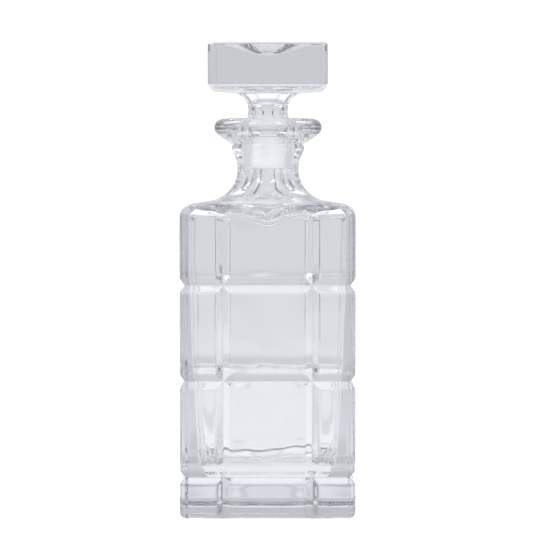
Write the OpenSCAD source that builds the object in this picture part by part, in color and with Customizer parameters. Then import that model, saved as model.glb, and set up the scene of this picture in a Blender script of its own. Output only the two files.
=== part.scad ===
// Square crystal decanter with a grid of V-shaped cuts, and its block stopper.
// +Z is up. The origin is at the middle of the foot, on the surface that the decanter stands on.

/* [Body] */
// Width across the flat faces
body_w = 96; // [80:1:120]
// Radius of the four upright corners
corner_r = 3; // [2:0.5:6]
// Radius of the edge round the foot
foot_r = 3.5; // [2:0.5:5]

/* [Shoulder and neck] */
// Radius of the rounded edge where each face turns into the shoulder
edge_r = 7.5; // [5:0.5:10]
// Fall of the shoulder towards that edge, in degrees
shoulder_fall = 8.5; // [6:0.5:12]
// Height of the neck's waist
waist_z = 191.5; // [155:0.5:235]
// Radius of the hollow curve of the neck
neck_curve_r = 18; // [14:0.5:20]
// Thickness of the glass at the neck's waist
neck_wall = 8.1; // [6:0.1:10]
// Width that the bead under the lip stands out past the waist
bead_out = 3.4; // [2:0.1:5]
// Radius of that bead
bead_r = 4; // [3:0.1:5]

/* [Lip] */
// Height of the mouth above the neck's waist
mouth_rise = 28.2; // [26:0.1:36]
// Width that the lip stands out past the bead
lip_out = 9.8; // [7:0.1:13]
// Radius of the lip's rounded rim
rim_r = 4.8; // [3.5:0.1:5]
// Slope of the lip's underside, in degrees above level
lip_slope = 34; // [28:1:40]
// Radius of the rounded mouth
mouth_r = 4.5; // [3.5:0.1:5.5]

/* [Cavity] */
// Thickness of the solid foot
floor_t = 23.5; // [18:0.5:32]
// Wall thickness at the foot
wall_foot = 10; // [8:0.5:13]
// Wall thickness at the shoulder
wall_top = 5; // [4.5:0.5:7]
// Thickness of the shoulder
shoulder_t = 4.5; // [4:0.5:8]
// Radius of the edge between the walls and the shoulder inside
inner_edge_r = 3.5; // [3:0.5:7]
// Radius where the walls meet the floor
floor_r = 11; // [8:0.5:18]
// Width taken off the upright corners inside
inner_corner_cut = 4.5; // [3:0.5:6]

/* [Cuts] */
// Depth of a cut
cut_depth = 2.9; // [1.8:0.1:3.2]
// Width of a cut
cut_w = 7.6; // [6:0.1:9]
// Height of the lowest level cut
cut_low_z = 22.8; // [18:0.1:28]
// Distance from one level cut to the next
cut_step_z = 52.5; // [40:0.5:54]
// Number of level cuts
cut_levels = 3; // [2:1:3]
// Distance between the two upright cuts of a face
cut_gap = 48.4; // [36:0.1:58]

/* [Stopper] */
// Radius of the ground seat at its foot
seat_r = 9.1; // [7.5:0.1:11]
// Growth of the seat's radius for each millimetre of height
seat_taper = 0.07; // [0.04:0.01:0.09]
// Radial gap between the seat and the plug
seat_gap = 0.08; // [0.05:0.01:0.1]
// Gap between the rounded mouth and the stem above the plug
mouth_gap = 0.35; // [0.3:0.05:0.6]
// Width of the block
block_w = 66; // [54:1:79]
// Height of the block
block_h = 24.5; // [20:0.5:30]
// Bevel on the block's upright edges
block_bevel = 3.8; // [2.5:0.1:5]
// Bevel round the block's lower edge
block_low_bevel = 1.8; // [1:0.1:3]
// Bevel round the block's upper edge
block_top_bevel = 0.8; // [0.4:0.1:1.2]
// Thickness of the stem at its waist, as a radius
stem_r = 11.1; // [9.5:0.1:12]
// Height of the stem's waist above the mouth
stem_waist_rise = 5.2; // [4:0.1:8]
// Radius of the hollow curve under the block
stem_curve_r = 9.5; // [8:0.5:11]
// Fall of the block's underside towards the stem
underside_fall = 1.8; // [1:0.1:2.5]

/* [Star cut] */
// Points of the star in the block's top
star_points = 8; // [6:1:12]
// Radius of the star
star_r = 26.5; // [20:0.5:27]
// Radius of the ring where the star's two slopes meet
star_ring_r = 9; // [6:0.5:14]
// Depth of that ring
star_ring_depth = 5.6; // [3:0.1:6]
// Depth of the star's middle
star_depth = 6.6; // [6.2:0.1:8]

/* [Hidden] */
round_steps = 96;                         // $fn of everything round
past = 1;                                 // how far a cutter runs past what it cuts
plug_foot_rise = 0.6;                     // height of the plug's foot above the foot of the seat
plug_bevel = 0.8;                         // bevel round the plug's foot
plug_top_drop = 1;                        // drop from the top of the seat to the widest part of the plug
stem_foot_drop = 1;                       // drop from the mouth to the foot of the stem
bore_step = 0.2;                          // step between the seat and the bore below it
bore_below_seat = 3;                      // straight bore between the cavity's flare and the seat

// Body: the shoulder is one sloping line, and the edge and the neck's curve are tangent to it.
half_w = body_w / 2;
waist_r = seat_r + neck_wall;
fall_sin = sin(shoulder_fall);
fall_cos = cos(shoulder_fall);
neck_curve_x = waist_r + neck_curve_r;
slope_reach = fall_sin * neck_curve_x + fall_cos * waist_z - neck_curve_r;
edge_x = half_w - edge_r;
face_top_z = (slope_reach - edge_r - fall_sin * edge_x) / fall_cos;

// Neck: the bead touches the neck's curve, and the lip's cone touches its rim.
bead_x = waist_r + bead_out - bead_r;
bead_dx = neck_curve_x - bead_x;
bead_reach = neck_curve_r + bead_r;
bead_z = waist_z + sqrt(bead_reach * bead_reach - bead_dx * bead_dx);
mouth_z = waist_z + mouth_rise;
rim_x = waist_r + bead_out + lip_out - rim_r;
rim_z = mouth_z - rim_r;
cone_top_x = rim_x + rim_r * sin(lip_slope);
cone_top_z = rim_z - rim_r * cos(lip_slope);

// Seat: its foot is level with the neck's waist.
seat_z = waist_z;
seat_top_z = mouth_z - mouth_r;
function seat_radius(z) = seat_r + seat_taper * (z - seat_z);
mouth_x = seat_radius(seat_top_z) + mouth_r;

// Cavity: its shoulder is parallel to the outer one, and flares into the bore.
bore_r = seat_r - bore_step;
inner_top_w = half_w - wall_top;
inner_foot_w = half_w - wall_foot;
inner_reach = slope_reach - shoulder_t;
inner_curve_z = seat_z - bore_below_seat;
inner_curve_r = (fall_cos * inner_curve_z + fall_sin * bore_r - inner_reach) / (1 - fall_sin);
inner_curve_x = bore_r + inner_curve_r;
inner_edge_x = inner_top_w - inner_edge_r;
inner_face_top_z = (inner_reach - inner_edge_r - fall_sin * inner_edge_x) / fall_cos;

// Stopper
plug_z = seat_z + plug_foot_rise;
plug_top_z = seat_top_z - plug_top_drop;
plug_top_r = seat_radius(plug_top_z) - seat_gap;
stem_waist_z = mouth_z + stem_waist_rise;
stem_foot_z = mouth_z - stem_foot_drop;
stem_foot_r = mouth_r + mouth_gap;
stem_foot_x = mouth_x - sqrt(stem_foot_r * stem_foot_r - pow(stem_foot_z - seat_top_z, 2));
block_z = stem_waist_z + stem_curve_r + underside_fall;
block_top_z = block_z + block_h;
block_half = block_w / 2;

// A square of a given half width whose corners are rounded.
module rounded_square(half, r) {
    square([2 * half, 2 * (half - r)], center = true);
    square([2 * (half - r), 2 * half], center = true);
    for (x = [-1, 1], y = [-1, 1])
        translate([x * (half - r), y * (half - r)])
            circle(r = r, $fn = round_steps);
}

// Two crossed copies of one upright outline, extruded through each other.
module crossed(width) {
    intersection_for(turn = [0, 90])
        rotate([90, 0, turn])
            linear_extrude(height = width, center = true)
                children();
}

// Outline of the body seen from the front, up to the top of the shoulder's slope.
module body_outline() {
    slope_x = edge_x + edge_r * fall_sin;
    slope_z = face_top_z + edge_r * fall_cos;
    polygon([
        [-(half_w - foot_r), 0], [half_w - foot_r, 0], [half_w, foot_r],
        [half_w, face_top_z], [slope_x, slope_z], [0, slope_reach / fall_cos],
        [-slope_x, slope_z], [-half_w, face_top_z], [-half_w, foot_r]]);
    for (x = [-1, 1]) {
        translate([x * (half_w - foot_r), foot_r])
            circle(r = foot_r, $fn = round_steps);
        translate([x * edge_x, face_top_z])
            circle(r = edge_r, $fn = round_steps);
    }
}

module body_block() {
    intersection() {
        crossed(body_w + 2 * past) body_outline();
        linear_extrude(height = waist_z) rounded_square(half_w, corner_r);
    }
}

// The neck, its bead and the lip, as one outline turned about the axis.
module neck() {
    meet = neck_curve_r / bead_reach;
    flare_x = neck_curve_x - neck_curve_r * fall_sin;
    flare_z = waist_z - neck_curve_r * fall_cos;
    cone_low_z = cone_top_z - (cone_top_x - bead_x) * tan(lip_slope);
    rotate_extrude($fn = round_steps) {
        difference() {
            polygon([
                [0, flare_z - past], [flare_x - past, flare_z - past], [flare_x, flare_z],
                [neck_curve_x - bead_dx * meet, waist_z + (bead_z - waist_z) * meet],
                [bead_x, bead_z], [0, bead_z]]);
            translate([neck_curve_x, waist_z])
                circle(r = neck_curve_r, $fn = round_steps);
        }
        translate([bead_x, bead_z])
            circle(r = bead_r, $fn = round_steps);
        polygon([
            [0, bead_z], [bead_x, bead_z], [bead_x, cone_low_z], [cone_top_x, cone_top_z],
            [rim_x, mouth_z], [0, mouth_z]]);
        translate([rim_x, rim_z])
            circle(r = rim_r, $fn = round_steps);
    }
}

// Outline of the cavity seen from the front.
module cavity_outline() {
    slope_x = inner_edge_x + inner_edge_r * fall_sin;
    slope_z = inner_face_top_z + inner_edge_r * fall_cos;
    polygon([
        [-(inner_foot_w - floor_r), floor_t], [inner_foot_w - floor_r, floor_t],
        [inner_foot_w, floor_t + floor_r],
        [inner_top_w, inner_face_top_z], [slope_x, slope_z], [0, inner_reach / fall_cos],
        [-slope_x, slope_z], [-inner_top_w, inner_face_top_z],
        [-inner_foot_w, floor_t + floor_r]]);
    for (x = [-1, 1]) {
        translate([x * (inner_foot_w - floor_r), floor_t + floor_r])
            circle(r = floor_r, $fn = round_steps);
        translate([x * inner_edge_x, inner_face_top_z])
            circle(r = inner_edge_r, $fn = round_steps);
    }
}

// The space inside: the cavity, its flare and the bore up to the seat.
module cavity() {
    flare_x = inner_curve_x - inner_curve_r * fall_sin;
    flare_z = inner_curve_z - inner_curve_r * fall_cos;
    intersection() {
        crossed(body_w) cavity_outline();
        rotate_extrude($fn = round_steps)
            polygon([
                [0, 0], [inner_foot_w * sqrt(2) - inner_corner_cut, 0],
                [inner_top_w * sqrt(2) - inner_corner_cut, inner_face_top_z],
                [inner_top_w * sqrt(2) - inner_corner_cut, waist_z], [0, waist_z]]);
    }
    rotate_extrude($fn = round_steps)
        difference() {
            polygon([
                [0, flare_z - past], [flare_x - past, flare_z - past], [flare_x, flare_z],
                [bore_r, inner_curve_z], [bore_r, seat_z + past], [0, seat_z + past]]);
            translate([inner_curve_x, inner_curve_z])
                circle(r = inner_curve_r, $fn = round_steps);
        }
}

// The ground seat and the rounded mouth above it.
module seat() {
    rotate_extrude($fn = round_steps)
        difference() {
            polygon([
                [0, seat_z], [seat_r, seat_z], [seat_radius(seat_top_z), seat_top_z],
                [mouth_x, mouth_z], [mouth_x, mouth_z + past], [0, mouth_z + past]]);
            translate([mouth_x, seat_top_z])
                circle(r = mouth_r, $fn = round_steps);
        }
}

// One V-shaped cutter along Z, opening towards +X from the face at half_w.
module cutter(length) {
    spread = cut_w / 2 * (cut_depth + past) / cut_depth;
    linear_extrude(height = length)
        polygon([[half_w - cut_depth, 0], [half_w + past, -spread], [half_w + past, spread]]);
}

module cuts() {
    for (turn = [0:90:270])
        rotate([0, 0, turn]) {
            for (i = [0:cut_levels - 1])
                translate([0, half_w + past, cut_low_z + i * cut_step_z])
                    rotate([90, 0, 0])
                        cutter(body_w + 2 * past);
            for (side = [-1, 1])
                translate([0, side * cut_gap / 2, -past])
                    cutter(face_top_z + edge_r + past);
        }
}

module decanter() {
    color([0.86, 0.90, 0.94, 0.55])
        difference() {
            union() {
                difference() {
                    body_block();
                    cuts();
                }
                neck();
            }
            cavity();
            seat();
        }
}

// A square of a given half width whose corners are bevelled.
module bevelled_square(half, bevel) {
    flat = half - bevel;
    polygon([
        [half, -flat], [half, flat], [flat, half], [-flat, half],
        [-half, flat], [-half, -flat], [-flat, -half], [flat, -half]]);
}

// The block of the stopper, bevelled along every edge.
module block() {
    low = block_half - block_low_bevel;
    high = block_half - block_top_bevel;
    intersection() {
        crossed(block_w + 2 * past)
            polygon([
                [-low, block_z], [low, block_z], [block_half, block_z + block_low_bevel],
                [block_half, block_top_z - block_top_bevel], [high, block_top_z],
                [-high, block_top_z], [-block_half, block_top_z - block_top_bevel],
                [-block_half, block_z + block_low_bevel]]);
        translate([0, 0, block_z - past])
            linear_extrude(height = block_h + 2 * past)
                bevelled_square(block_half, block_bevel);
    }
}

// The star cut into the block's top: an outer row of facets down to a ring, and an inner row to the middle.
module star() {
    n = star_points;
    rim = [for (i = [0:n - 1]) star_r * [cos(360 * i / n), sin(360 * i / n)]];
    ring = [for (i = [0:n - 1]) star_ring_r * [cos(360 * (i + 0.5) / n), sin(360 * (i + 0.5) / n)]];
    translate([0, 0, block_top_z])
        polyhedron(
            points = concat(
                [for (p = rim) [p[0], p[1], 0]],
                [for (p = ring) [p[0], p[1], -star_ring_depth]],
                [for (p = rim) [p[0], p[1], past]],
                [[0, 0, -star_depth]]),
            faces = [for (i = [0:n - 1]) let (j = (i + 1) % n)
                each [
                    [i, j, n + i], [n + i, j, n + j], [3 * n, n + i, n + j],
                    [i, 2 * n + j, j], [i, 2 * n + i, 2 * n + j],
                    if (i > 0 && j > 0) [2 * n, 2 * n + j, 2 * n + i]]]);
}

// The plug, the stem and the sloping underside, as one outline turned about the axis.
module stem() {
    rotate_extrude($fn = round_steps)
        difference() {
            polygon([
                [0, plug_z],
                [seat_radius(plug_z) - seat_gap - plug_bevel, plug_z],
                [seat_radius(plug_z + plug_bevel) - seat_gap, plug_z + plug_bevel],
                [plug_top_r, plug_top_z],
                [stem_foot_x, stem_foot_z],
                [stem_r, stem_waist_z],
                [stem_r + stem_curve_r, stem_waist_z + stem_curve_r],
                [block_half - block_low_bevel, block_z],
                [0, block_z + past]]);
            translate([mouth_x, seat_top_z])
                circle(r = stem_foot_r, $fn = round_steps);
            translate([stem_r + stem_curve_r, stem_waist_z])
                circle(r = stem_curve_r, $fn = round_steps);
        }
}

module stopper() {
    color([0.90, 0.93, 0.96, 0.55])
        difference() {
            union() {
                block();
                stem();
            }
            star();
        }
}

decanter();
stopper();
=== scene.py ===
import bpy
import math
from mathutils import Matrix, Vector


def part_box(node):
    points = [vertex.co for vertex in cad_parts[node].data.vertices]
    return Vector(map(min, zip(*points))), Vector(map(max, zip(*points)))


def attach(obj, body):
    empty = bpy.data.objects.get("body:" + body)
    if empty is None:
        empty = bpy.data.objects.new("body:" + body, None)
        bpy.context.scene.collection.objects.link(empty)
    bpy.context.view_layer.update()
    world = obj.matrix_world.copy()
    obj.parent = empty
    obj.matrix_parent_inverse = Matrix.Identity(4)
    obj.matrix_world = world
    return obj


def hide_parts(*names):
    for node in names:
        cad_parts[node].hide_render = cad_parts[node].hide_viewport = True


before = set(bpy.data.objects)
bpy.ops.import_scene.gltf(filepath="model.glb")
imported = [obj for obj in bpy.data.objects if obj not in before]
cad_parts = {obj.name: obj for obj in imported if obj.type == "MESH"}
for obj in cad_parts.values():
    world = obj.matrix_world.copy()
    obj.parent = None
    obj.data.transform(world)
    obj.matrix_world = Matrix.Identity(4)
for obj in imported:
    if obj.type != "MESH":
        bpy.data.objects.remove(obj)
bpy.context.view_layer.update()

# ---------------------------------------------------------------------------
# Decanter, outside. One piece of clear crystal, blown into a square mould, then cut on a wheel with
# a grid of V-shaped grooves and polished until the edges along them are soft. The neck and the flared
# lip are worked round while the glass is hot.
# ---------------------------------------------------------------------------
MM = 0.001
HAIR = 0.01 * MM            # slack for telling two places apart
NEAR = 0.1 * MM             # how far off a line a point may be and still count as on it

body_low, body_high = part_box("decanter")
half_width = body_high[0]
mouth_z = body_high[2]

corner_radius = 3 * MM
foot_radius = 3.5 * MM
edge_radius = 7.5 * MM
shoulder_fall = math.radians(8.5)
mouth_rise = 28.2 * MM
waist_z = mouth_z - mouth_rise
waist_radius = 17.2 * MM
neck_curve = 18 * MM
bead_out = 3.4 * MM
bead_width = waist_radius + bead_out
bead_radius = 4 * MM
rim_radius = 4.8 * MM
lip_slope = math.radians(34)
lip_out = 9.8 * MM
lip_width = bead_width + lip_out

# The shoulder's slope touches both the neck's curve and the rounded top edge of the faces.
neck_curve_x = waist_radius + neck_curve
fall_sin = math.sin(shoulder_fall)
fall_cos = math.cos(shoulder_fall)
slope_reach = fall_sin * neck_curve_x + fall_cos * waist_z - neck_curve
edge_x = half_width - edge_radius
face_top = (slope_reach - edge_radius - fall_sin * edge_x) / fall_cos


def deselect_objects():
    if bpy.context.object and bpy.context.object.mode != "OBJECT":
        bpy.ops.object.mode_set(mode="OBJECT")
    bpy.ops.object.select_all(action="DESELECT")


def edit(part):
    deselect_objects()
    part.select_set(True)
    bpy.context.view_layer.objects.active = part
    bpy.ops.object.mode_set(mode="EDIT")


def pick(part, kind, wanted):
    """Selects only the vertices, edges or faces whose test is true, and stays in edit mode."""
    edit(part)
    bpy.ops.mesh.select_mode(type=kind)
    bpy.ops.mesh.select_all(action="DESELECT")
    bpy.ops.object.mode_set(mode="OBJECT")
    mesh = part.data
    items = {"VERT": mesh.vertices, "EDGE": mesh.edges, "FACE": mesh.polygons}[kind]
    for item in items:
        item.select = wanted(item)
    bpy.ops.object.mode_set(mode="EDIT")


def rounded_box(name, half, low, high, upright_radius, upright_steps, low_radius, low_steps):
    """A square box open at the top, with rounded upright edges and a rounded lower edge."""
    deselect_objects()
    bpy.ops.mesh.primitive_cube_add(size=2, location=(0, 0, (low + high) / 2),
                                    scale=(half, half, (high - low) / 2))
    part = bpy.context.object
    part.name = name
    bpy.ops.object.transform_apply(location=True, rotation=True, scale=True)
    pick(part, "FACE", lambda face: face.normal.z > 0.9)
    bpy.ops.mesh.delete(type="FACE")

    def end_heights(edge):
        return [part.data.vertices[i].co.z for i in edge.vertices]

    pick(part, "EDGE", lambda edge: abs(end_heights(edge)[0] - end_heights(edge)[1]) > half)
    bpy.ops.mesh.bevel(offset=upright_radius, segments=upright_steps, affect="EDGES",
                       clamp_overlap=False)
    pick(part, "EDGE", lambda edge: max(end_heights(edge)) < low + MM)
    bpy.ops.mesh.bevel(offset=low_radius, segments=low_steps, affect="EDGES", clamp_overlap=False)
    return part


def slice_at(part, places, normal):
    """Cuts edges right round the part on each of the planes."""
    edit(part)
    for place in places:
        bpy.ops.mesh.select_all(action="SELECT")
        bpy.ops.mesh.bisect(plane_co=Vector(normal) * place, plane_no=normal)


def arc(x, z, radius, start, end, steps):
    """Points along an arc after its first one, from one angle to another in degrees."""
    angles = [math.radians(start + (end - start) * (i + 1) / steps) for i in range(steps)]
    return [(x + radius * math.cos(a), z + radius * math.sin(a)) for a in angles]


def line(start, end, shares):
    """Points between two points, at shares of the way from the first to the second."""
    return [tuple(a + (b - a) * share for a, b in zip(start, end)) for share in shares]


def raise_rim(part, levels):
    """Extrudes the selected rim level by level. A level is a half width, a height and a roundness."""
    for width, height, roundness in levels:
        bpy.ops.object.mode_set(mode="OBJECT")
        rim = [v.co.copy() for v in part.data.vertices if v.select]
        bpy.ops.object.mode_set(mode="EDIT")
        bpy.ops.mesh.extrude_region_move(TRANSFORM_OT_translate={"value": (0, 0, height - rim[0].z)})
        if roundness:
            bpy.ops.transform.tosphere(value=roundness)
        bpy.ops.object.mode_set(mode="OBJECT")
        reach = max(v.co.x for v in part.data.vertices if v.select)
        bpy.ops.object.mode_set(mode="EDIT")
        scale = width / reach
        bpy.ops.transform.resize(value=(scale, scale, 1), center_override=(0, 0, height))


decanter = rounded_box("decanter_glass", half_width, 0, face_top, corner_radius, 6, foot_radius, 4)

cut_depth = 2.9 * MM
cut_half = 3.8 * MM
upright_cut = 24.2 * MM
level_cuts = [22.8 * MM, 75.3 * MM, 127.8 * MM]
columns = [place * MM for place in (5, 10, 15, 33, 38, 42)]
columns += [upright_cut + side * cut_half for side in (-1, 0, 1)]
columns = [0] + columns + [-place for place in columns]
slice_at(decanter, columns, (1, 0, 0))
slice_at(decanter, columns, (0, 1, 0))
rows = [z + side * cut_half for z in level_cuts for side in (-1, 0, 1)]
rows += [place * MM for place in (12, 36, 49, 62, 88.5, 101.5, 114.5, 141, 153)]
slice_at(decanter, rows, (0, 0, 1))

# The outline above the faces: rounded edge, shoulder, neck, bead, the cone under the lip, and the rim.
fall_degrees = math.degrees(shoulder_fall)
edge_arc = arc(edge_x, face_top, edge_radius, 0, 90 - fall_degrees, 6)
slope_end = arc(neck_curve_x, waist_z, neck_curve, 0, 270 - fall_degrees, 1)[0]
slope = line(edge_arc[-1], slope_end, (0.35, 0.7, 1))
bead_x = bead_width - bead_radius
bead_turn = math.acos((neck_curve_x - bead_x) / (neck_curve + bead_radius))
bead_z = waist_z + (neck_curve + bead_radius) * math.sin(bead_turn)
bead_degrees = math.degrees(bead_turn)
lip_degrees = math.degrees(lip_slope)
neck_arc = arc(neck_curve_x, waist_z, neck_curve, 270 - fall_degrees, 180 - bead_degrees, 14)
bead_arc = arc(bead_x, bead_z, bead_radius, -bead_degrees, lip_degrees, 4)
rim_x, rim_z = lip_width - rim_radius, mouth_z - rim_radius
cone_top = (rim_x + rim_radius * math.sin(lip_slope), rim_z - rim_radius * math.cos(lip_slope))
groove_width = 0.35 * MM    # between the bead and the cone
cone_low_x = bead_arc[-1][0] + groove_width
cone_low = (cone_low_x, cone_top[1] - (cone_top[0] - cone_low_x) * math.tan(lip_slope))
lip_cone = line(cone_low, cone_top, (0, 0.33, 0.67, 1))
rim_arc = arc(rim_x, rim_z, rim_radius, lip_degrees - 90, 90, 9)

# The square turns round gradually, from the shoulder to the neck.
turning = [0, 0, 0, 0.02, 0.04, 0.06, 0.1, 0.15, 0.2, 0.3, 0.4, 0.5, 0.6, 0.8]
outline = edge_arc + slope + neck_arc + bead_arc + lip_cone + rim_arc
turning = turning + [1] * (len(outline) - len(turning))
pick(decanter, "VERT", lambda vert: vert.co.z > face_top - HAIR)
raise_rim(decanter, [(x, z, t) for (x, z), t in zip(outline, turning)])

# The rounded mouth, and the ground seat that tapers down into the neck.
mouth_radius = 4.5 * MM
seat_foot_radius = 9.1 * MM
seat_taper = 0.07
seat_top = mouth_z - mouth_radius
seat_top_radius = seat_foot_radius + seat_taper * (seat_top - waist_z)
mouth_x = seat_top_radius + mouth_radius
bore_step = 0.2 * MM        # where the ground seat ends and the untouched bore begins
bore_radius = seat_foot_radius - bore_step
mouth_arc = [(2 * mouth_x - x, z) for x, z in arc(mouth_x, seat_top, mouth_radius, 90, 0, 6)]
seat_line = line((seat_top_radius, seat_top), (seat_foot_radius, waist_z), (0.25, 0.5, 0.75, 1))
inside_down = [((rim_x + mouth_x) / 2, mouth_z), (mouth_x, mouth_z)] + mouth_arc + seat_line
raise_rim(decanter, [(x, z, 0) for x, z in inside_down + [(bore_radius, waist_z - bore_step)]])

# The cuts are pushed in: the middle line of each one goes straight in by the depth of the cut.
cut_floor = half_width - cut_depth
for axis, side in ((0, 1), (0, -1), (1, 1), (1, -1)):
    flat = (0, 1, 1) if axis == 0 else (1, 0, 1)
    centre = Vector((side * cut_floor, 0, 0)) if axis == 0 else Vector((0, side * cut_floor, 0))

    def on_upright_cut(vert):
        out = side * vert.co[axis]
        if out < cut_floor + HAIR:
            return False
        lean = half_width / out if vert.co.z > face_top else 1
        return abs(abs(vert.co[1 - axis]) * lean - upright_cut) < NEAR

    def on_level_cut(vert):
        return (side * vert.co[axis] > cut_floor + HAIR
                and abs(vert.co[1 - axis]) < half_width - corner_radius + HAIR
                and min(abs(vert.co.z - z) for z in level_cuts) < NEAR)

    for on_cut in (on_upright_cut, on_level_cut):
        pick(decanter, "VERT", on_cut)
        bpy.ops.transform.resize(value=flat, center_override=centre)

# The level cuts run on round the upright corners.
corner_centre = half_width - corner_radius
left = (corner_radius - cut_depth) / corner_radius
for x_side in (-1, 1):
    for y_side in (-1, 1):
        pick(decanter, "VERT", lambda vert: (
            vert.co.x * x_side > corner_centre + HAIR and vert.co.y * y_side > corner_centre + HAIR
            and min(abs(vert.co.z - z) for z in level_cuts) < NEAR))
        bpy.ops.transform.resize(value=(left, left, 1),
                                 center_override=(x_side * corner_centre, y_side * corner_centre, 0))

# Where two cuts cross, their sloping sides meet along mitre lines.
pick(decanter, "FACE", lambda face: (
    max(abs(face.center.x), abs(face.center.y)) > half_width - 4 * MM
    and min(abs(face.center.z - z) for z in level_cuts) < cut_half
    and abs(min(abs(face.center.x), abs(face.center.y)) - upright_cut) < cut_half))
bpy.ops.mesh.quads_convert_to_tris(quad_method="LONGEST_DIAGONAL")

# ---------------------------------------------------------------------------
# Decanter, inside. The hollow that the blown glass leaves: walls that thicken towards the solid foot,
# soft corners, and a shoulder that flares up into the bore. It joins the outside at the seat's foot.
# ---------------------------------------------------------------------------
floor_z = 23.5 * MM
wall_top = 5 * MM
wall_foot = 10 * MM
shoulder_wall = 4.5 * MM
floor_radius = 11 * MM
inner_corner = 11 * MM
inner_foot = half_width - wall_foot
inner_top = half_width - wall_top
inner_edge = 3.5 * MM
inner_reach = slope_reach - shoulder_wall
flare_drop = 3 * MM         # the flare ends this far below the seat
flare_z = waist_z - flare_drop
flare_radius = (fall_cos * flare_z + fall_sin * bore_radius - inner_reach) / (1 - fall_sin)
flare_x = bore_radius + flare_radius
inner_edge_x = inner_top - inner_edge
inner_face_top = (inner_reach - inner_edge - fall_sin * inner_edge_x) / fall_cos

inner_start = floor_z + floor_radius + MM
hollow = rounded_box("hollow", inner_foot, floor_z, inner_start, inner_corner, 6, floor_radius, 8)
column_gap = 25 / 9 * MM
hollow_columns = [column_gap * i for i in range(-8, 9)]
slice_at(hollow, hollow_columns, (1, 0, 0))
slice_at(hollow, hollow_columns, (0, 1, 0))

# The wall thins upwards along a parabola, then come the inner edge, the shoulder and the flare.
wall_steps = 22
wall = []
for step in range(1, wall_steps + 1):
    up = step / wall_steps
    wall.append((inner_top - (wall_foot - wall_top) * (1 - up) ** 2,
                 inner_start + (inner_face_top - inner_start) * up))
inner_edge_arc = arc(inner_edge_x, inner_face_top, inner_edge, 0, 90 - fall_degrees, 5)
flare_low = arc(flare_x, flare_z, flare_radius, 0, 270 - fall_degrees, 1)[0]
flare_arc = arc(flare_x, flare_z, flare_radius, 270 - fall_degrees, 180, 10)
inner_slope = line(inner_edge_arc[-1], flare_low, (0.33, 0.67, 1))
inner_outline = wall + inner_edge_arc + inner_slope + flare_arc
inner_turning = [0] * wall_steps + [0, 0.02, 0.04, 0.06, 0.1] + [0.2, 0.3, 0.45] + [0.5, 0.7]
inner_turning += [1] * (len(inner_outline) - len(inner_turning))
pick(hollow, "VERT", lambda vert: vert.co.z > inner_start - HAIR)
raise_rim(hollow, [(x, z, t) for (x, z), t in zip(inner_outline, inner_turning)])

# The inner surface was never pressed against anything, so the shoulder sags between the corners. Each
# sag is how deep it is, how it fades out, and how far it reaches.
sags = ((1.6 * MM, "SMOOTH", 34 * MM), (3.4 * MM, "SHARP", 20 * MM))
for x, y in ((1, 0), (-1, 0), (0, 1), (0, -1)):
    pick(hollow, "VERT", lambda vert: (
        abs(vert.co.x * y) + abs(vert.co.y * x) < 2 * MM
        and vert.co.x * x + vert.co.y * y > inner_edge_x
        and vert.co.z > inner_face_top - 3 * MM))
    for sag, falloff, reach in sags:
        bpy.ops.transform.translate(value=(0, 0, -sag), use_proportional_edit=True,
                                    proportional_edit_falloff=falloff, proportional_size=reach)
bpy.ops.object.mode_set(mode="OBJECT")


def apply_modifier(part, kind, **settings):
    deselect_objects()
    part.select_set(True)
    bpy.context.view_layer.objects.active = part
    modifier = part.modifiers.new(kind.title(), kind)
    for key, value in settings.items():
        setattr(modifier, key, value)
    bpy.ops.object.modifier_apply(modifier=modifier.name)


# The walls are gently wavy: broad waves, and smaller and shallower ones on them.
for size, depth in ((26 * MM, 1.1 * MM), (9 * MM, 0.45 * MM)):
    waves = bpy.data.textures.new("blown_waves", "CLOUDS")
    waves.noise_scale = size
    waves.noise_depth = 1
    apply_modifier(hollow, "DISPLACE", texture=waves, texture_coords="LOCAL", strength=depth,
                   mid_level=0.5)

deselect_objects()
hollow.select_set(True)
decanter.select_set(True)
bpy.context.view_layer.objects.active = decanter
bpy.ops.object.join()


def open_edges(part):
    """The edges that only one face uses."""
    uses = {}
    for face in part.data.polygons:
        for key in face.edge_keys:
            uses[key] = uses.get(key, 0) + 1
    return {key for key, count in uses.items() if count == 1}


loose = open_edges(decanter)
pick(decanter, "EDGE", lambda edge: tuple(sorted(edge.vertices)) in loose)
bpy.ops.mesh.bridge_edge_loops()
bpy.ops.mesh.select_all(action="SELECT")
bpy.ops.mesh.remove_doubles(threshold=HAIR)
bpy.ops.mesh.normals_make_consistent(inside=False)
bpy.ops.object.mode_set(mode="OBJECT")


def weigh(part, angle, weight, wanted):
    """Sets how wide the bevel is along the edges that turn by more than an angle."""
    edit(part)
    bpy.ops.mesh.select_mode(type="EDGE")
    bpy.ops.mesh.select_all(action="DESELECT")
    bpy.ops.mesh.edges_select_sharp(sharpness=angle)
    bpy.ops.object.mode_set(mode="OBJECT")
    for edge in part.data.edges:
        ends = [part.data.vertices[i].co for i in edge.vertices]
        edge.select = edge.select and wanted(ends)
    bpy.ops.object.mode_set(mode="EDIT")
    bpy.ops.transform.edge_bevelweight(value=weight)
    bpy.ops.object.mode_set(mode="OBJECT")


def in_a_cut(ends):
    return any(max(abs(end.x), abs(end.y)) < cut_floor + 2 * NEAR for end in ends)


# The polished edges along the cuts are wide and soft, and the bottoms of the cuts are narrow.
sharp_turn = math.radians(27)
polished_width = 1.1 * MM
bottom_share = 0.25
weigh(decanter, sharp_turn, 1, lambda ends: not in_a_cut(ends))
weigh(decanter, sharp_turn, bottom_share, in_a_cut)
apply_modifier(decanter, "BEVEL", width=polished_width, segments=3, limit_method="WEIGHT",
               use_clamp_overlap=False)
apply_modifier(decanter, "SUBSURF", levels=1, render_levels=1)
deselect_objects()
decanter.select_set(True)
bpy.context.view_layer.objects.active = decanter
bpy.ops.object.shade_smooth()


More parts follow.
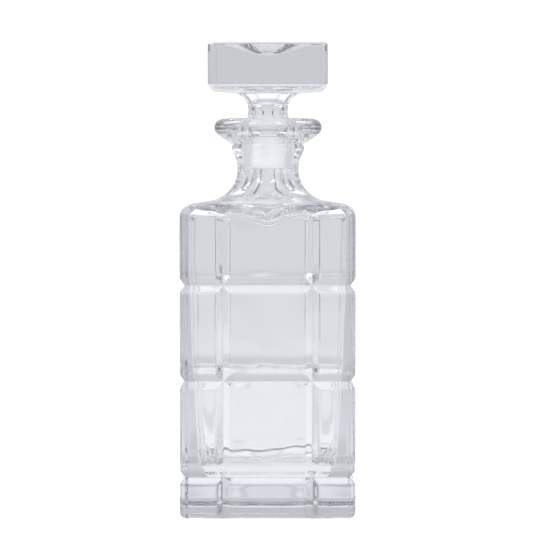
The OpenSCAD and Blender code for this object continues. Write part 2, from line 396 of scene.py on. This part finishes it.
def linear(hex_colour):
    """A six-digit sRGB colour as linear RGBA."""
    parts = [int(hex_colour[i:i + 2], 16) / 255 for i in (0, 2, 4)]
    return [p / 12.92 if p < 0.04045 else ((p + 0.055) / 1.055) ** 2.4 for p in parts] + [1]


def add_node(tree, kind, links=(), **settings):
    """Adds a node. A setting is a property or an input, and a link is (input, from node, output)."""
    node = tree.nodes.new(kind)
    for key, value in settings.items():
        if hasattr(node, key):
            setattr(node, key, value)
        else:
            node.inputs[key].default_value = value
    for name, source, output in links:
        tree.links.new(source.outputs[output], node.inputs[name])
    return node


# Crystal glass, fire-polished. It is clear, and only a long way through it looks faintly grey. Its
# surface is never quite flat: it ripples about every 17 mm, by less than a tenth of a millimetre, and
# that bends what is seen through it.
ripple_size = 50 / 3 * MM
ripple_height = 0.5 * MM
ripple_share = 0.15
crystal = bpy.data.materials.new("fire_polished_crystal")
crystal.use_nodes = True
tree = crystal.node_tree
shader = tree.nodes["Principled BSDF"]
shader.inputs["Base Color"].default_value = linear("F8F8F8")
shader.inputs["Transmission Weight"].default_value = 1
shader.inputs["Roughness"].default_value = 0
shader.inputs["IOR"].default_value = 1.52
place = add_node(tree, "ShaderNodeTexCoord")
ripple = add_node(tree, "ShaderNodeTexNoise", [("Vector", place, "Object")],
                  Scale=1 / ripple_size, Detail=1)
bump = add_node(tree, "ShaderNodeBump", [("Height", ripple, "Fac")],
                Strength=ripple_share, Distance=ripple_height)
tree.links.new(bump.outputs["Normal"], shader.inputs["Normal"])
depth_tint = add_node(tree, "ShaderNodeVolumeAbsorption", Color=linear("E2E3E5"), Density=14)
tree.links.new(depth_tint.outputs[0], tree.nodes["Material Output"].inputs["Volume"])
decanter.data.materials.clear()
decanter.data.materials.append(crystal)

# The same crystal where the seat is ground with fine grit. It scatters light, so it looks whitish.
ground = crystal.copy()
ground.name = "ground_crystal"
shader = ground.node_tree.nodes["Principled BSDF"]
shader.inputs["Roughness"].default_value = 0.35
shader.inputs["Base Color"].default_value = linear("FFFFFF")
shader.inputs["Transmission Weight"].default_value = 0.55
decanter.data.materials.append(ground)


def give_material(part, slot, wanted):
    pick(part, "FACE", wanted)
    part.active_material_index = slot
    bpy.ops.object.material_slot_assign()
    bpy.ops.object.mode_set(mode="OBJECT")


give_material(decanter, 1, lambda face: (
    waist_z < face.center.z < seat_top
    and face.center.to_2d().length < seat_top_radius + 2 * NEAR))
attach(decanter, "decanter")
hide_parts("decanter")

# ---------------------------------------------------------------------------
# Stopper. One solid piece of crystal: a pressed block with bevelled edges and a star cut into its top,
# a waisted stem, and a plug ground to fit the seat.
# ---------------------------------------------------------------------------
stopper_low, stopper_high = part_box("stopper")
block_half = stopper_high[0]
block_top = stopper_high[2]
block_tall = 24.5 * MM
block_bottom = block_top - block_tall
block_bevel = 3.8 * MM
low_bevel = 1.8 * MM
top_bevel = 0.8 * MM
sides_low = block_bottom + low_bevel
sides_high = block_top - top_bevel

deselect_objects()
bpy.ops.mesh.primitive_cube_add(size=2, location=(0, 0, (sides_low + sides_high) / 2),
                                scale=(block_half, block_half, (sides_high - sides_low) / 2))
stopper = bpy.context.object
stopper.name = "stopper_glass"
bpy.ops.object.transform_apply(location=True, rotation=True, scale=True)
pick(stopper, "FACE", lambda face: abs(face.normal.z) > 0.9)
bpy.ops.mesh.delete(type="FACE")
corners = stopper.data.vertices
pick(stopper, "EDGE", lambda edge: (
    abs(corners[edge.vertices[0]].co.z - corners[edge.vertices[1]].co.z) > block_tall / 2))
bpy.ops.mesh.bevel(offset=block_bevel, segments=1, affect="EDGES")
block_column_gap = 4 * MM
block_columns = [block_column_gap * i for i in range(-7, 8)]
slice_at(stopper, block_columns, (1, 0, 0))
slice_at(stopper, block_columns, (0, 1, 0))

# Downwards: the bevel, the sloping underside, the hollow curve of the stem, its foot and the plug.
stem_radius = 11.1 * MM
stem_curve = 9.5 * MM
stem_rise = 5.2 * MM        # from the mouth up to the stem's waist
stem_waist = mouth_z + stem_rise
stem_curve_x = stem_radius + stem_curve
stem_top = stem_waist + stem_curve
low_edge = (block_half - low_bevel, block_bottom)
under = line(low_edge, (stem_curve_x, stem_top), (0, 0.25, 0.5, 0.75, 1))
underside = [(x, z, turned) for (x, z), turned in zip(under, (0, 0.08, 0.2, 0.4, 0.7))]
stem_arc = [(x, z, 1) for x, z in arc(stem_curve_x, stem_waist, stem_curve, 90, 180, 10)]

# Below its waist the stem widens a little, and then it follows the rounded mouth with a gap.
seat_gap = 0.08 * MM
mouth_gap = 0.35 * MM
foot_drop = 1 * MM          # below the mouth, where the stem starts to follow it
foot_curve = mouth_radius + mouth_gap
foot_z = mouth_z - foot_drop
foot_turn = math.asin((foot_z - seat_top) / foot_curve)
foot_x = mouth_x - foot_curve * math.cos(foot_turn)
widening = 1.6
stem_cone = [(stem_radius + (foot_x - stem_radius) * share ** widening,
              stem_waist + (foot_z - stem_waist) * share, 0) for share in (0.25, 0.5, 0.75, 1)]
foot_start = 180 - math.degrees(foot_turn)
stem_foot = [(x, z, 0) for x, z in arc(mouth_x, seat_top, foot_curve, foot_start, 180, 7)]

# The plug follows the seat, less the gap, and ends in a small bevel and a flat foot.
plug_start = 1 * MM         # below the top of the seat
plug_top = seat_top - plug_start
plug_foot = stopper_low[2]
plug_bevel = 0.8 * MM
plug_low = plug_foot + plug_bevel


def plug_point(z):
    return seat_foot_radius + seat_taper * (z - waist_z) - seat_gap, z


plug_side = line(plug_point(plug_top), plug_point(plug_low), (0, 0.25, 0.5, 0.75, 1))
plug_line = [(x, z, 0) for x, z in plug_side]
plug_end = plug_line[-1][0] - plug_bevel
plug_flat = [(plug_end * share, plug_foot, 0) for share in (1, 0.6, 0.2)]
pick(stopper, "VERT", lambda vert: vert.co.z < sides_low + HAIR)
raise_rim(stopper, underside + stem_arc + stem_cone + stem_foot + plug_line + plug_flat)
bpy.ops.mesh.extrude_region_move()
bpy.ops.mesh.merge(type="CENTER")

# Upwards: the narrow bevel, then the flat top in to the edge of the star.
pick(stopper, "VERT", lambda vert: vert.co.z > sides_high - HAIR)
raise_rim(stopper, [(block_half - top_bevel, block_top, 0)])

# The star: eight long facets run down to a ring, and eight short ones on to the middle.
star_radius = 26.5 * MM
star_ring = 9 * MM
star_ring_depth = 5.6 * MM
star_depth = 6.6 * MM
star_points = 8
deselect_objects()
bpy.ops.mesh.primitive_circle_add(vertices=star_points, radius=star_radius,
                                  location=(0, 0, block_top))
star = bpy.context.object
bpy.ops.object.transform_apply(location=True, rotation=True, scale=True)
edit(star)
bpy.ops.mesh.select_all(action="SELECT")
bpy.ops.mesh.extrude_region_move(TRANSFORM_OT_translate={"value": (0, 0, -star_ring_depth)})
shrink = star_ring / star_radius
middle = (0, 0, block_top - star_ring_depth)
bpy.ops.transform.resize(value=(shrink, shrink, 1), center_override=middle)
bpy.ops.transform.rotate(value=math.pi / star_points, orient_axis="Z", center_override=middle)
middle_drop = star_depth - star_ring_depth
bpy.ops.mesh.extrude_region_move(TRANSFORM_OT_translate={"value": (0, 0, -middle_drop)})
bpy.ops.mesh.merge(type="CENTER")
bpy.ops.mesh.select_all(action="SELECT")
bpy.ops.mesh.quads_convert_to_tris(quad_method="SHORTEST_DIAGONAL")
deselect_objects()
star.select_set(True)
stopper.select_set(True)
bpy.context.view_layer.objects.active = stopper
bpy.ops.object.join()
loose = open_edges(stopper)
pick(stopper, "EDGE", lambda edge: tuple(sorted(edge.vertices)) in loose)
bpy.ops.mesh.fill(use_beauty=True)
bpy.ops.mesh.select_all(action="SELECT")
bpy.ops.mesh.remove_doubles(threshold=HAIR)
bpy.ops.mesh.normals_make_consistent(inside=False)
bpy.ops.object.mode_set(mode="OBJECT")
edge_softness = 0.45 * MM
apply_modifier(stopper, "BEVEL", width=edge_softness, segments=3, limit_method="ANGLE",
               angle_limit=math.radians(32), use_clamp_overlap=False)
deselect_objects()
stopper.select_set(True)
bpy.context.view_layer.objects.active = stopper
bpy.ops.object.shade_smooth_by_angle(angle=math.radians(20))


def in_the_star(end):
    return block_top - star_depth - MM < end.z and end.to_2d().length < star_radius + MM


# Cut facets meet in crisp edges.
corners = stopper.data.vertices
pick(stopper, "EDGE", lambda edge: all(in_the_star(corners[i].co) for i in edge.vertices))
bpy.ops.mesh.mark_sharp()
bpy.ops.object.mode_set(mode="OBJECT")
stopper.data.materials.clear()
stopper.data.materials.append(crystal)
stopper.data.materials.append(ground)
ground_top = seat_top - 0.5 * MM
give_material(stopper, 1, lambda face: (
    face.center.z < ground_top and face.center.to_2d().length > plug_end + 2 * NEAR))
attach(stopper, "stopper")
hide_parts("stopper")

# ---------------------------------------------------------------------------
# Table. A wide sheet of matt white paper that glows instead of being lit. A look straight at it sees
# an even glow, so that it melts into what is behind it. The glass sees painted light on it instead: a
# painted pool of light that is brightest under the decanter and fades with distance, and painted shade
# in narrow dark gaps between bright panels, which run out from under the decanter like spokes. Only the
# glass sees the pool and the gaps: a look straight at the paper sees none.
# ---------------------------------------------------------------------------
deselect_objects()
table_width = 40
table_drop = 0.1 * MM       # keeps the paper clear of the foot
bpy.ops.mesh.primitive_plane_add(size=table_width, location=(0, 0, -table_drop))
floor = bpy.context.object
floor.name = "table"
backdrop_colour = linear("F8F9FF")
backdrop_level = 1.1


def brightness_along(tree, source, full, stops):
    """A brightness for each value of a node, from stops of (value, brightness) up to a full value."""
    share = add_node(tree, "ShaderNodeMapRange", [("Value", source, "Value")], **{"From Max": full})
    ramp = add_node(tree, "ShaderNodeValToRGB", [("Fac", share, "Result")])
    ramp.color_ramp.elements.remove(ramp.color_ramp.elements[1])
    for value, brightness in stops:
        stop = ramp.color_ramp.elements.new(value / full)
        stop.color = (brightness, brightness, brightness, 1)
    ramp.color_ramp.elements.remove(ramp.color_ramp.elements[0])
    return ramp


def angle_behind(tree, parts):
    """The angle in degrees, to either side, from straight behind the decanter."""
    turn = add_node(tree, "ShaderNodeMath", [(0, parts, "X"), (1, parts, "Y")], operation="ARCTAN2")
    degrees = add_node(tree, "ShaderNodeMath", [(0, turn, "Value")], operation="DEGREES")
    return add_node(tree, "ShaderNodeMath", [(0, degrees, "Value")], operation="ABSOLUTE")


# Painted light and shade on the paper: bright panels with dark gaps of painted shade between them.
# Each stop is an angle to either side of straight behind the decanter, in degrees, and a brightness.
near_painted_panels = (
    (7.5, 1), (8.5, 0.85), (10, 0.85), (11, 1.08), (20, 1.08), (24, 1), (30, 0.78), (34, 0.78),
    (37, 1), (78, 1), (82, 0.5), (86, 0.5), (90, 1))
far_painted_panels = (
    (7.5, 1), (8.5, 0.3), (10.5, 0.3), (11.5, 1.1), (17, 1.1), (19, 0.95), (26, 1), (27, 0.45),
    (28.5, 0.45), (30, 1), (37, 1), (38.5, 0.4), (40.5, 0.4), (42, 1), (52, 1), (53.5, 0.4),
    (55, 0.4), (57, 1), (79, 1), (82, 0.1), (86, 0.1), (90, 1), (118, 1), (126, 0.5), (150, 0.6),
    (179, 0.7))
near_end, far_start = 0.8, 1.1          # metres from the decanter
# A painted pool of light on the paper, brightest under the decanter and fading with distance.
# Each stop is a distance from the decanter in metres, and a brightness.
painted_pool_levels = (
    (0, 1.08), (0.3, 1.06), (0.55, 0.99), (0.8, 0.94), (1.1, 0.92), (1.5, 0.88), (10, 0.87))

# Matt paper that glows instead of being lit, with no grain and no shine. A look straight at it sees
# plain white; the glass sees it with the painted pool of light and the painted dark gaps.
paper = bpy.data.materials.new("paper_glowing_with_painted_light")
paper.use_nodes = True
tree = paper.node_tree
tree.nodes.clear()
place = add_node(tree, "ShaderNodeTexCoord")
reach = add_node(tree, "ShaderNodeVectorMath", [("Vector", place, "Object")], operation="LENGTH")
painted_pool = brightness_along(tree, reach, painted_pool_levels[-1][0], painted_pool_levels)
parts = add_node(tree, "ShaderNodeSeparateXYZ", [("Vector", place, "Object")])
behind = angle_behind(tree, parts)
near = brightness_along(tree, behind, 180, near_painted_panels)
far = brightness_along(tree, behind, 180, far_painted_panels)
far_share = add_node(tree, "ShaderNodeMapRange", [("Value", reach, "Value")],
                     **{"From Min": near_end, "From Max": far_start})
painted_panels = add_node(tree, "ShaderNodeMix", [
    ("Factor", far_share, "Result"), ("A", near, "Color"), ("B", far, "Color")])
level = add_node(tree, "ShaderNodeMath", [(0, painted_pool, "Color"), (1, painted_panels, "Result")],
                 operation="MULTIPLY")
# What the glass sees: a glow that carries the painted pool of light and the painted shade of the gaps.
painted_light_seen_through = add_node(tree, "ShaderNodeEmission", [("Strength", level, "Value")],
                              Color=backdrop_colour)
paper_seen = add_node(tree, "ShaderNodeEmission", Strength=backdrop_level)
path = add_node(tree, "ShaderNodeLightPath")
mix = add_node(tree, "ShaderNodeMixShader", [("Fac", path, "Is Camera Ray")])
tree.links.new(painted_light_seen_through.outputs[0], mix.inputs[1])
tree.links.new(paper_seen.outputs[0], mix.inputs[2])
add_node(tree, "ShaderNodeOutputMaterial", [("Surface", mix, "Shader")])
floor.data.materials.append(paper)

# ---------------------------------------------------------------------------
# Light and camera. A white tent of light with narrow dark gaps between its panels, which draw the edges
# of the cuts, a room that is darker behind the camera, and two small softboxes for the highlights.
# ---------------------------------------------------------------------------
world = bpy.data.worlds.new("light_tent")
bpy.context.scene.world = world
world.use_nodes = True
tree = world.node_tree
tree.nodes.clear()

# The stops are as for the paper: degrees from straight behind, and degrees up from level.
tent_panels = (
    (9, 1), (11, 0.85), (14, 0.85), (16, 1), (28, 1), (34, 0.45), (44, 0.45), (48, 1), (54, 1),
    (56, 0.35), (58, 0.35), (60, 1), (77, 1), (80, 0.4), (88, 0.4), (91, 1), (118, 1), (126, 0.5),
    (150, 0.55), (179, 0.7))
tent_rise = (
    (0, 0.84), (7, 0.84), (9, 0.78), (21.5, 0.8), (24, 1.05), (28, 1.38), (60, 1.38), (89, 1.25))
way = add_node(tree, "ShaderNodeTexCoord")
parts = add_node(tree, "ShaderNodeSeparateXYZ", [("Vector", way, "Generated")])
round_panels = brightness_along(tree, angle_behind(tree, parts), 180, tent_panels)
rise = add_node(tree, "ShaderNodeMath", [(0, parts, "Z")], operation="ARCSINE")
rise_degrees = add_node(tree, "ShaderNodeMath", [(0, rise, "Value")], operation="DEGREES")
rise_size = add_node(tree, "ShaderNodeMath", [(0, rise_degrees, "Value")], operation="ABSOLUTE")
upward_panels = brightness_along(tree, rise_size, 90, tent_rise)
level = add_node(tree, "ShaderNodeMath", [(0, round_panels, "Color"), (1, upward_panels, "Color")],
                 operation="MULTIPLY")
tent = add_node(tree, "ShaderNodeBackground", [("Strength", level, "Value")],
                Color=backdrop_colour)
plain = add_node(tree, "ShaderNodeBackground", Strength=backdrop_level, Color=(1, 1, 1, 1))
path = add_node(tree, "ShaderNodeLightPath")
mix = add_node(tree, "ShaderNodeMixShader", [("Fac", path, "Is Camera Ray")])
tree.links.new(tent.outputs[0], mix.inputs[1])
tree.links.new(plain.outputs[0], mix.inputs[2])
add_node(tree, "ShaderNodeOutputWorld", [("Surface", mix, "Shader")])

# Name, place, size in metres and power in watts. Both aim at the middle of the decanter.
softboxes = (
    ("left_softbox", (-0.7, -0.9, 1.1), 0.35, 2.5),
    ("right_softbox", (0.5, -1.0, 1.2), 0.3, 2))
middle_of_decanter = Vector((0, 0, 0.13))
for name, place, size, power in softboxes:
    bpy.ops.object.light_add(type="AREA", location=place)
    lamp = bpy.context.object
    lamp.name = name
    lamp.data.size = size
    lamp.data.energy = power
    aim = middle_of_decanter - Vector(place)
    lamp.rotation_euler = aim.to_track_quat("-Z", "Y").to_euler()

# The camera stands a little to the right of the decanter and looks slightly down.
camera_place = (6.2 * MM, -1200 * MM, 182.2 * MM)
camera_tilt = math.radians(2.522)
bpy.ops.object.camera_add(location=camera_place, rotation=(math.pi / 2 - camera_tilt, 0, 0))
camera = bpy.context.object
camera.data.sensor_width = 36
camera.data.lens = 137
bpy.context.scene.camera = camera
bpy.context.scene.view_settings.view_transform = "Standard"

# Light passes through many walls of glass before it leaves.
bpy.context.scene.cycles.max_bounces = 32
bpy.context.scene.cycles.transmission_bounces = 32
bpy.context.scene.cycles.glossy_bounces = 16

# Clear glass takes no light away from the table that it stands on.
for piece in (decanter, stopper):
    piece.visible_shadow = False

deselect_objects()
